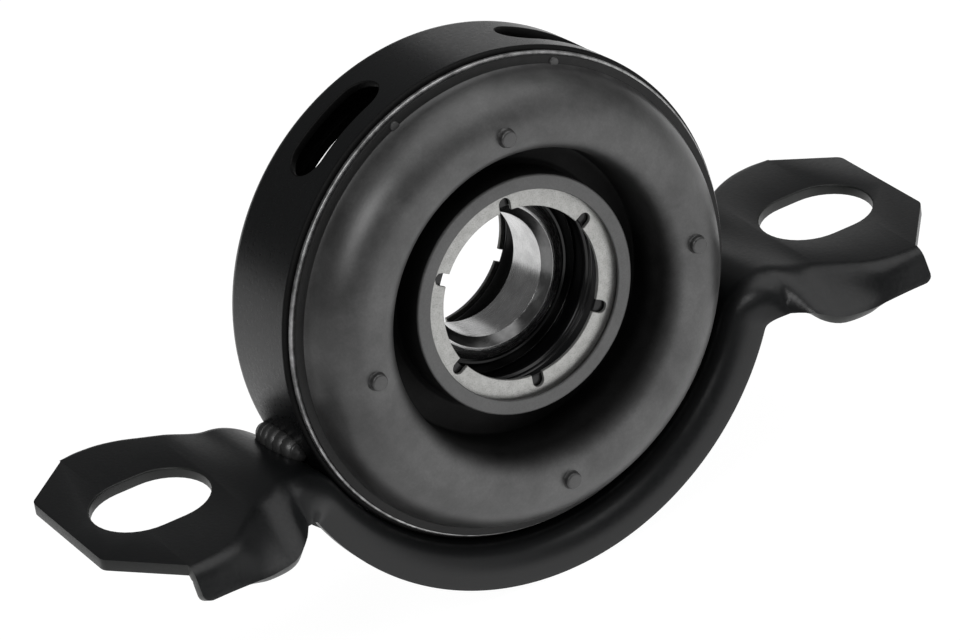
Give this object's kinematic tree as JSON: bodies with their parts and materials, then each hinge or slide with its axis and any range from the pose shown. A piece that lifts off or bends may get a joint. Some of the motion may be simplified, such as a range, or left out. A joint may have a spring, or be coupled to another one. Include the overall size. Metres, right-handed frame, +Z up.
{
  "type": "drive shaft centre support bearing",
  "caption": "Sealed ball bearing in a rolled rubber cushion and steel ring, carried by a stamped saddle bracket with two slotted ears for bolting up a drive shaft's middle.",
  "frame": {"origin": "centre of the ball bearing, on its axis", "axes": "+Y along the shaft, front face of the cushion towards -Y; +X towards the right ear; +Z up"},
  "size_m": [0.2264, 0.0697, 0.1283],
  "materials": {
    "black_paint": "satin black paint",
    "black_rubber": "matte moulded rubber",
    "seal_rubber": "smooth moulded rubber",
    "bare_steel": "raw drawn sheet",
    "zinc_steel": "pale zinc plate",
    "ground_steel": "ground and brushed",
    "polyamide": "moulded"
  },
  "bodies": {
    "support": {"bracket": "black_paint", "outer_ring": "black_paint", "weld_bead_left": "black_paint", "weld_bead_right": "black_paint", "cushion_flange_ring": "bare_steel", "rubber_cushion": "black_rubber", "inner_sleeve": "bare_steel", "front_retainer": "zinc_steel", "rear_retainer": "zinc_steel", "front_dust_seal": "seal_rubber", "rear_dust_seal": "seal_rubber", "outer_race": "ground_steel", "front_bearing_seal": "seal_rubber", "rear_bearing_seal": "seal_rubber"},
    "inner_race": {"inner_race": "ground_steel"},
    "cage": {"ball_cage": "polyamide"},
    "ball_01": {"ball_01": "ground_steel"},
    "ball_02": {"ball_02": "ground_steel"},
    "ball_03": {"ball_03": "ground_steel"},
    "ball_04": {"ball_04": "ground_steel"},
    "ball_05": {"ball_05": "ground_steel"},
    "ball_06": {"ball_06": "ground_steel"},
    "ball_07": {"ball_07": "ground_steel"},
    "ball_08": {"ball_08": "ground_steel"},
    "ball_09": {"ball_09": "ground_steel"},
    "ball_10": {"ball_10": "ground_steel"},
    "ball_11": {"ball_11": "ground_steel"}
  },
  "joints": [
    {"name": "inner_race_spin", "type": "hinge", "parent": "support", "child": "inner_race", "pos_m": [0, 0, 0], "axis": [0, 1, 0], "continuous": true},
    {"name": "cage_spin", "type": "hinge", "parent": "support", "child": "cage", "pos_m": [0, 0, 0], "axis": [0, 1, 0], "continuous": true},
    {"name": "ball_01_spin", "type": "hinge", "parent": "cage", "child": "ball_01", "pos_m": [0, 0, 0.0205], "axis": [0, 1, 0], "continuous": true},
    {"name": "ball_02_spin", "type": "hinge", "parent": "cage", "child": "ball_02", "pos_m": [0.01108, 0, 0.01725], "axis": [0, 1, 0], "continuous": true},
    {"name": "ball_03_spin", "type": "hinge", "parent": "cage", "child": "ball_03", "pos_m": [0.01865, 0, 0.00852], "axis": [0, 1, 0], "continuous": true},
    {"name": "ball_04_spin", "type": "hinge", "parent": "cage", "child": "ball_04", "pos_m": [0.02029, 0, -0.00292], "axis": [0, 1, 0], "continuous": true},
    {"name": "ball_05_spin", "type": "hinge", "parent": "cage", "child": "ball_05", "pos_m": [0.01549, 0, -0.01342], "axis": [0, 1, 0], "continuous": true},
    {"name": "ball_06_spin", "type": "hinge", "parent": "cage", "child": "ball_06", "pos_m": [0.00578, 0, -0.01967], "axis": [0, 1, 0], "continuous": true},
    {"name": "ball_07_spin", "type": "hinge", "parent": "cage", "child": "ball_07", "pos_m": [-0.00578, 0, -0.01967], "axis": [0, 1, 0], "continuous": true},
    {"name": "ball_08_spin", "type": "hinge", "parent": "cage", "child": "ball_08", "pos_m": [-0.01549, 0, -0.01342], "axis": [0, 1, 0], "continuous": true},
    {"name": "ball_09_spin", "type": "hinge", "parent": "cage", "child": "ball_09", "pos_m": [-0.02029, 0, -0.00292], "axis": [0, 1, 0], "continuous": true},
    {"name": "ball_10_spin", "type": "hinge", "parent": "cage", "child": "ball_10", "pos_m": [-0.01865, 0, 0.00852], "axis": [0, 1, 0], "continuous": true},
    {"name": "ball_11_spin", "type": "hinge", "parent": "cage", "child": "ball_11", "pos_m": [-0.01108, 0, 0.01725], "axis": [0, 1, 0], "continuous": true}
  ],
  "couplings": [
    {"joint": "cage_spin", "follows": "inner_race_spin", "ratio": 0.41341},
    {"joint": "ball_01_spin", "follows": "inner_race_spin", "ratio": -2.8008},
    {"joint": "ball_02_spin", "follows": "inner_race_spin", "ratio": -2.8008},
    {"joint": "ball_03_spin", "follows": "inner_race_spin", "ratio": -2.8008},
    {"joint": "ball_04_spin", "follows": "inner_race_spin", "ratio": -2.8008},
    {"joint": "ball_05_spin", "follows": "inner_race_spin", "ratio": -2.8008},
    {"joint": "ball_06_spin", "follows": "inner_race_spin", "ratio": -2.8008},
    {"joint": "ball_07_spin", "follows": "inner_race_spin", "ratio": -2.8008},
    {"joint": "ball_08_spin", "follows": "inner_race_spin", "ratio": -2.8008},
    {"joint": "ball_09_spin", "follows": "inner_race_spin", "ratio": -2.8008},
    {"joint": "ball_10_spin", "follows": "inner_race_spin", "ratio": -2.8008},
    {"joint": "ball_11_spin", "follows": "inner_race_spin", "ratio": -2.8008}
  ]
}
